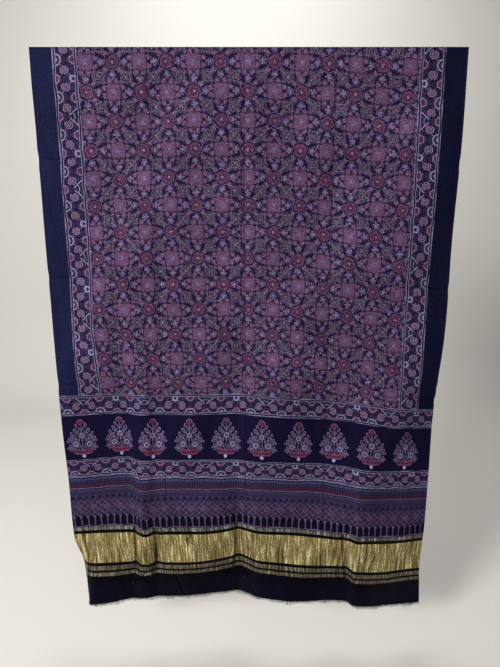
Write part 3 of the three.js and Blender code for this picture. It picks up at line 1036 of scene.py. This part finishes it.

# Sharp folds pressed into the woven end, dented by bump and darkened with painted shade: name, start and end
# as across and down in millimetres, and half width.
SHADED_FOLD_LINES = (
    ("pleat left", (-384, 1396), (-395, 1536), 4),
    ("pleat right", (-308, 1396), (-321, 1536), 4.5),
    ("pleat cross one", (-396, 1530), (-338, 1588), 3),
    ("pleat cross two", (-318, 1526), (-402, 1592), 3),
    ("valley", (-45, 1392), (-60, 1548), 4.5),
    ("step", (298, 1402), (314, 1560), 4),
    ("left turn", (-548, 1420), (-540, 1600), 4),
    ("hem fold one", (-30, 1566), (20, 1636), 5),
    ("hem fold two", (-110, 1636), (-72, 1570), 5),
    ("hem fold three", (-250, 1568), (-222, 1636), 4.5),
)


def gold_group(dyes):
    """Gold stripes in dark cloth. The metal yarn is crushed into upright streaks that are bumped and
    metallic, and whose colour also carries painted highlights and painted shade.
    """
    tree, board, given, put_out = new_group(
        "Gold weave", [("Place", "place")],
        [("Colour", "colour"), ("Metal", "number"), ("Height", "number")],
    )
    across, down = board.split(given["Place"])
    lean = board.noise(board.join(across * 0.02, down * 0.006), 1.0, detail=1)
    streak_at = board.join((across + lean * 24) * 0.19, down * 0.011)
    streaks = board.noise(streak_at, 1.0, detail=3, roughness=0.7, distortion=0.3)
    broad = board.noise(board.join(across * 0.035, down * 0.009), 1.0, detail=2)
    creped = board.noise(board.join(across * 0.55, down * 0.12), 1.0, detail=2, roughness=0.6)
    shine = streaks * 0.72 + broad * 0.2 + creped * 0.2
    # Painted highlight and painted shade: the ramp makes some streaks glint-bright and others dark in the
    # colour itself.
    gold, _ = board.ramp(shine, [
        (0.4, dyes.gold_shade, 1), (0.49, dyes.gold_half_shade, 1), (0.56, dyes.gold, 1), (0.61, dyes.gold, 1),
        (0.69, dyes.glint, 1),
    ])
    tall = LENGTH_DOWN - GOLD_START
    stops = [(0, dyes.black, 0)]
    for _, start, stop, tint in GOLD_STRIPES:
        low, high = start - GOLD_START, stop - GOLD_START
        colour = getattr(dyes, tint)
        stops += [
            ((low - STRIPE_SOFT) / tall, colour, 0), (low / tall, colour, 1), (high / tall, colour, 1),
            ((high + STRIPE_SOFT) / tall, colour, 0),
        ]
    stripe, cover = board.ramp((down - GOLD_START) / tall, stops)
    woven = board.node("ShaderNodeMix", data_type="RGBA", blend_type="MULTIPLY")
    board.feed(woven.inputs[0], 1.0)
    board.feed(woven.inputs[6], gold)
    board.feed(woven.inputs[7], stripe)
    end = board.paint(dyes.black, dyes.hem, board.reach(down, 1565, 1600))
    colour = board.paint(end, Wire(board, woven.outputs[2]), cover)
    fold_shade_and_dent = board.smaller(*[board.line(given["Place"], *row[1:]) for row in SHADED_FOLD_LINES])
    fold_shade_and_dent = board.below(fold_shade_and_dent, 0.9, 0.9)
    # Painted shade: the colour is darkened along the pressed folds.
    colour = board.tone(colour, 1 - fold_shade_and_dent * 0.62)
    relief = (streaks + creped * 0.5) * cover * 0.0022 - fold_shade_and_dent * 0.004
    put_out(Colour=colour, Metal=cover * 0.6, Height=relief)
    return tree


def surface_group(dyes):
    """Uneven dye, threads, fine creasing and painted shade along the storage creases, the same for all the
    cloth. The back prints weaker.
    """
    tree, board, given, put_out = new_group(
        "Cloth surface", [("Colour", "colour"), ("Place", "place"), ("Reverse", "number")],
        [("Colour", "colour"), ("Height", "number")],
    )
    across, down = board.split(given["Place"])
    warp = board.noise(board.join(across * 0.9, down * 0.05), 1.0, detail=1)
    weft = board.noise(board.join(across * 0.05, down * 0.9), 1.0, detail=1)
    threads = warp + weft
    patches = board.noise(given["Place"], 0.009, detail=2)
    mottle = board.noise(given["Place"], 0.17, detail=3, roughness=0.75)
    factor = threads * 0.35 + patches * 0.6 + mottle * 1.9 - 0.6
    colour = board.tone(given["Colour"], factor)
    weaker = board.paint(colour, dyes.reverse, given["Reverse"] * 0.55)
    crush = board.noise(given["Place"], 0.05, detail=3, roughness=0.55, distortion=0.8)
    lines = [board.number("ABSOLUTE", down - crease[1]) for crease in CROSS_CREASES]
    lines += [board.number("ABSOLUTE", across - crease[1]) for crease in DOWN_CREASES]
    crease = board.below(board.smaller(*lines), 2.6, 2.6) * board.reach(patches, 0.3, 0.55)
    # Painted shade: the colour darkens along the storage crease lines, where their dent also lowers the
    # bump.
    crease_shaded = board.tone(weaker, 1 - crease * 0.3)
    put_out(Colour=crease_shaded, Height=threads * 0.00012 + crush * 0.0018 - crease * 0.0012)
    return tree


class Cloths:
    """The node groups that the cloth's materials share, and the materials made from them."""

    def __init__(self, dyes, finish):
        self.dyes = dyes
        self.finish = finish
        self.surface = surface_group(dyes)

    def start(self, name):
        material = bpy.data.materials.new(name)
        material.use_nodes = True
        nodes = material.node_tree.nodes
        board = Board(material.node_tree)
        uv = board.node("ShaderNodeUVMap", uv_map="Flat cloth")
        place = board.place("SCALE", Wire(board, uv.outputs[0]))
        place.socket.node.inputs["Scale"].default_value = 1 / MM
        return material, nodes["Principled BSDF"], board, place

    def finish_material(self, board, shader, place, colour, relief=None, roughness=None, metal=None):
        reverse = board.node("ShaderNodeAttribute", attribute_name="reverse")
        # The surface group's colour carries uneven dye and painted shade along the storage creases.
        worn = board.group(
            self.surface, Colour=colour, Place=place, Reverse=Wire(board, reverse.outputs["Fac"]),
        )
        height = worn["Height"] if relief is None else worn["Height"] + relief
        bump = board.node("ShaderNodeBump")
        bump.inputs["Strength"].default_value = 1
        bump.inputs["Distance"].default_value = 1
        board.feed(bump.inputs["Height"], height)
        board.feed(shader.inputs["Normal"], Wire(board, bump.outputs[0]))
        board.feed(shader.inputs["Base Color"], worn["Colour"])
        shader.inputs["Roughness"].default_value = self.finish.roughness if roughness is None else roughness
        shader.inputs["Specular IOR Level"].default_value = self.finish.gloss
        if metal is not None:
            board.feed(shader.inputs["Metallic"], metal)

    def printed(self, name, group):
        material, shader, board, place = self.start(name)
        colour = board.group(group, Place=place)["Colour"]
        self.finish_material(board, shader, place, colour)
        return material

    def plain(self, name):
        material, shader, board, place = self.start(name)
        across, _ = board.split(place)
        # Painted shade: the margin's colour darkens towards the right side.
        side = board.reach(across, -400, 400)
        colour = board.paint(self.dyes.ground, self.dyes.shaded_right_ground, side)
        self.finish_material(board, shader, place, colour)
        return material

    def gold(self, name):
        material, shader, board, place = self.start(name)
        weave = board.group(gold_group(self.dyes), Place=place)
        self.finish_material(
            board, shader, place, weave["Colour"], relief=weave["Height"],
            roughness=self.finish.gold_roughness, metal=weave["Metal"],
        )
        return material

    def all(self):
        return [
            self.printed("field print", field_group(self.dyes)),
            self.printed("side border print", creeper_group(self.dyes, "Side creeper", True)),
            self.printed("cross border print", creeper_group(self.dyes, "Cross creeper", False)),
            self.plain("navy margin"),
            self.printed("tree print", tree_group(self.dyes)),
            self.printed("comb print", comb_group(self.dyes)),
            self.gold("gold and navy end"),
        ]


def closed_sheet(middle, thickness):
    """A closed thin sheet round a grid of places: its corners, its faces and the corners of one side."""
    along = np.gradient(middle, axis=1)
    below = np.gradient(middle, axis=0)
    facing = np.cross(below, along)
    facing /= np.linalg.norm(facing, axis=-1, keepdims=True)
    if facing[:, :, 1].mean() > 0:
        facing = -facing
    front = middle + facing * thickness / 2
    back = middle - facing * thickness / 2
    tall, wide = middle.shape[:2]
    layer = tall * wide
    corners = np.concatenate([front.reshape(-1, 3), back.reshape(-1, 3)])
    number = np.arange(layer).reshape(tall, wide)
    upper_left, upper_right = number[:-1, :-1].ravel(), number[:-1, 1:].ravel()
    lower_left, lower_right = number[1:, :-1].ravel(), number[1:, 1:].ravel()
    faces = [
        np.stack([upper_left, lower_left, lower_right, upper_right], axis=1),
        np.stack([upper_right, lower_right, lower_left, upper_left], axis=1) + layer,
    ]
    for edge in (number[0, ::-1], number[-1, :], number[:, 0], number[::-1, -1]):
        first, second = edge[:-1], edge[1:]
        faces.append(np.stack([first, first + layer, second + layer, second], axis=1)[:, ::-1])
    return corners, np.concatenate(faces), layer


def sheet_mesh(name, sizes):
    """The cloth as one closed thin sheet, with the print's flat measures in its UV map."""
    half = sizes.width / 2 / MM
    columns = share_out(-half, half, sizes.columns, column_weight)
    columns = snap(columns, (-BORDER_HALF, -FIELD_HALF, FIELD_HALF, BORDER_HALF))
    rows = share_out(0, sizes.length / MM, sizes.rows, row_weight)
    rows = snap(rows, (FIELD_END, CREEPER_END, TREES_END, SECOND_CREEPER_END, GOLD_START))
    across, weft = np.meshgrid(columns, rows)
    middle, printed = Hang().points(across, weft)
    corners, faces, layer = closed_sheet(middle, sizes.thickness)
    mesh = bpy.data.meshes.new(name)
    mesh.from_pydata(corners.tolist(), [], faces.tolist())
    flat = np.stack([across.ravel() * MM, printed.ravel()], axis=1)
    flat = np.concatenate([flat, flat])
    uv = mesh.uv_layers.new(name="Flat cloth")
    uv.data.foreach_set("uv", flat[faces.ravel()].ravel())
    reverse = mesh.attributes.new("reverse", "FLOAT", "POINT")
    reverse.data.foreach_set("value", np.repeat([0.0, 1.0], layer))
    centres = flat[faces].mean(axis=1) / MM
    zones = [zone_of(u, v) for u, v in centres]
    mesh.polygons.foreach_set("material_index", zones)
    mesh.polygons.foreach_set("use_smooth", np.ones(len(faces), bool))
    mesh.update()
    return mesh


class AJRAKH_OT_hang_cloth(bpy.types.Operator):
    """Hang the printed cloth as one thin sheet"""

    bl_idname = "ajrakh.hang_cloth"
    bl_label = "Hang Cloth"

    def execute(self, context):
        sizes = context.scene.ajrakh_cloth
        deselect_all()
        mesh = sheet_mesh("printed_sheet", sizes)
        sheet = bpy.data.objects.new("printed_sheet", mesh)
        context.collection.objects.link(sheet)
        for material in Cloths(context.scene.ajrakh_print, context.scene.ajrakh_finish).all():
            mesh.materials.append(material)
        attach(sheet, "root")
        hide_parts("cloth")
        return {"FINISHED"}


YARN_GAP = 0.3
YARN_RINGS = 5
YARN_SIDES = 3


def fringe_mesh(name, sizes, cloth):
    """Loose yarns of uneven length that hang from a narrow strip under the hem."""
    random = np.random.default_rng(sizes.seed)
    hang = Hang()
    half = cloth.width / 2 / MM
    hem = cloth.length / MM + YARN_GAP
    across = np.linspace(-half, half, cloth.columns + 1)
    weft = np.linspace(hem, hem + sizes.heading / MM, 3)
    strip, _ = hang.points(*np.meshgrid(across, weft))
    corners, faces, _ = closed_sheet(strip, cloth.thickness)
    corners, faces = [corners], [faces]
    count = len(corners[0])

    start = np.linspace(-half + 0.6, half - 0.6, sizes.yarns) + random.uniform(-0.4, 0.4, sizes.yarns)
    uneven = 0.5 + 0.5 * np.sin(start / 31) * np.sin(start / 13 + 1)
    drawn = random.uniform(0.35, 1, sizes.yarns)
    length = sizes.shortest + (sizes.longest - sizes.shortest) * uneven * drawn
    lean = random.normal(0, 0.16, sizes.yarns)
    curl = random.normal(0, 0.12, sizes.yarns)
    forward = random.normal(0, 0.13, sizes.yarns)
    root, _ = hang.points(start, np.full_like(start, hem + sizes.heading / MM * 0.6))
    share = np.linspace(0, 1, YARN_RINGS)[:, None]
    middle = np.stack([
        root[:, 0] + length * (lean * share + curl * share**2),
        root[:, 1] + length * forward * share,
        root[:, 2] - length * share,
    ], axis=-1)
    radius = sizes.thickness / 2 * (1 - 0.72 * share)
    turns = np.arange(YARN_SIDES) * 2 * math.pi / YARN_SIDES
    rings = []
    for turn in turns:
        offset = np.stack([np.cos(turn) * radius, np.sin(turn) * radius, np.zeros_like(radius)], axis=-1)
        rings.append(middle + offset)
    yarn_corners = np.stack(rings, axis=2).transpose(1, 0, 2, 3)
    corners.append(yarn_corners.reshape(-1, 3))
    sides = []
    for ring in range(YARN_RINGS - 1):
        for side in range(YARN_SIDES):
            after = (side + 1) % YARN_SIDES
            upper, lower = ring * YARN_SIDES, (ring + 1) * YARN_SIDES
            sides.append((upper + side, lower + side, lower + after, upper + after))
    last = (YARN_RINGS - 1) * YARN_SIDES
    first_number = count + np.arange(sizes.yarns) * YARN_RINGS * YARN_SIDES
    quads = (first_number[:, None, None] + np.array(sides)[None]).reshape(-1, 4)
    caps = [(0, 1, 2), (last + 2, last + 1, last)]
    ends = (first_number[:, None, None] + np.array(caps)[None]).reshape(-1, 3)
    all_faces = faces[0].tolist() + quads.tolist() + ends.tolist()
    mesh = bpy.data.meshes.new(name)
    mesh.from_pydata(np.concatenate(corners).tolist(), [], all_faces)
    mesh.update()
    return mesh


class AJRAKH_OT_fray_hem(bpy.types.Operator):
    """Fray the hem into loose warp yarns on a narrow strip"""

    bl_idname = "ajrakh.fray_hem"
    bl_label = "Fray Hem"

    def execute(self, context):
        deselect_all()
        mesh = fringe_mesh("frayed_hem", context.scene.ajrakh_fringe, context.scene.ajrakh_cloth)
        fringe = bpy.data.objects.new("frayed_hem", mesh)
        context.collection.objects.link(fringe)
        scene = context.scene
        mesh.materials.append(plain_material("navy yarn", scene.ajrakh_print.hem, scene.ajrakh_finish.gloss))
        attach(fringe, "root")
        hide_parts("fringe")
        return {"FINISHED"}


def soft_light(name, size, power, place, target, tint):
    """A large soft lamp at a place, turned to a target."""
    lamp = bpy.data.lights.new(name, "AREA")
    lamp.shape = "SQUARE"
    lamp.size = size
    lamp.energy = power
    lamp.color = tint
    light = bpy.data.objects.new(name, lamp)
    bpy.context.collection.objects.link(light)
    light.location = place
    aim = np.array(target, float) - np.array(place, float)
    light.rotation_euler = Vector(aim).to_track_quat("-Z", "Y").to_euler()
    return light


BEND_STEPS = 16


def sweep_mesh(name, stage):
    """A floor that bends up into a wall at the back without an edge."""
    profile = [(-stage.reach, 0.0)]
    for step in range(BEND_STEPS + 1):
        angle = step / BEND_STEPS * math.pi / 2
        profile.append((
            stage.wall_back - stage.bend * (1 - math.sin(angle)), stage.bend * (1 - math.cos(angle)),
        ))
    profile.append((stage.wall_back, stage.wall_height))
    corners = [(x, y, z - stage.floor_drop) for y, z in profile for x in (-stage.reach, stage.reach)]
    faces = [(2 * i, 2 * i + 1, 2 * i + 3, 2 * i + 2) for i in range(len(profile) - 1)]
    mesh = bpy.data.meshes.new(name)
    mesh.from_pydata(corners, [], faces)
    mesh.polygons.foreach_set("use_smooth", [True] * len(faces))
    mesh.update()
    return mesh


# The photograph's viewing angle: the lens stands a third of the way down the cloth and dips a little.
SENSOR = 36
LENS = 22.18
CAMERA_PLACE = (0.003, -1.191, -0.569)
CAMERA_DIP = 9.35

# Soft lamps: name, size in metres, watts, where each stands, where it points, and its tint.
LAMPS = (
    ("key light", 1.2, 270, (-3.2, -3.0, 0.8), (0, 0, -0.8), (1, 0.98, 0.95)),
    ("fill light", 1.2, 14, (0.6, -2.3, 0.3), (0, 0, -0.7), (0.95, 0.97, 1)),
    ("backdrop light", 2.4, 80, (0, 1.1, 2.6), (0, 2.6, -1.2), (1, 1, 1)),
)
WORLD_GREY = (0.9, 0.9, 0.9, 1)
WORLD_STRENGTH = 0.14


class AJRAKH_OT_set_stage(bpy.types.Operator):
    """Lay the pale floor, set the soft lights and place the camera"""

    bl_idname = "ajrakh.set_stage"
    bl_label = "Set Stage"

    def execute(self, context):
        stage = context.scene.ajrakh_stage
        deselect_all()
        floor = bpy.data.objects.new("floor", sweep_mesh("floor", stage))
        context.collection.objects.link(floor)
        floor.data.materials.append(plain_material("pale floor", stage.floor_colour))
        for lamp in LAMPS:
            soft_light(*lamp)
        camera_data = bpy.data.cameras.new("camera")
        camera_data.sensor_width = SENSOR
        camera_data.lens = LENS
        camera = bpy.data.objects.new("camera", camera_data)
        context.collection.objects.link(camera)
        camera.location = CAMERA_PLACE
        camera.rotation_euler = (math.radians(90 - CAMERA_DIP), 0, 0)
        context.scene.camera = camera
        world = bpy.data.worlds.new("studio")
        context.scene.world = world
        world.use_nodes = True
        backdrop = world.node_tree.nodes["Background"]
        backdrop.inputs["Color"].default_value = WORLD_GREY
        backdrop.inputs["Strength"].default_value = WORLD_STRENGTH
        context.scene.view_settings.view_transform = "Standard"
        return {"FINISHED"}


class AJRAKH_PT_panel(bpy.types.Panel):
    """Lists the steps of the cloth"""

    bl_idname = "AJRAKH_PT_panel"
    bl_label = "Ajrakh Cloth"
    bl_space_type = "VIEW_3D"
    bl_region_type = "UI"
    bl_category = "Ajrakh"

    def draw(self, context):
        layout = self.layout
        layout.operator("ajrakh.set_stage")
        layout.operator("ajrakh.fray_hem")
        layout.operator("ajrakh.hang_cloth")


CLASSES = (
    ClothSizes, PrintColours, ClothFinish, FringeSizes, StageSettings,
    AJRAKH_OT_hang_cloth, AJRAKH_OT_fray_hem, AJRAKH_OT_set_stage, AJRAKH_PT_panel,
)
SETTINGS = (
    ("ajrakh_cloth", ClothSizes), ("ajrakh_print", PrintColours), ("ajrakh_finish", ClothFinish),
    ("ajrakh_fringe", FringeSizes), ("ajrakh_stage", StageSettings),
)


def register():
    for kind in CLASSES:
        bpy.utils.register_class(kind)
    for name, kind in SETTINGS:
        setattr(bpy.types.Scene, name, PointerProperty(type=kind))


def unregister():
    for name, _ in SETTINGS:
        delattr(bpy.types.Scene, name)
    for kind in reversed(CLASSES):
        bpy.utils.unregister_class(kind)


def main():
    register()
    bpy.ops.ajrakh.set_stage()
    bpy.ops.ajrakh.fray_hem()
    bpy.ops.ajrakh.hang_cloth()


if __name__ == "__main__":
    main()
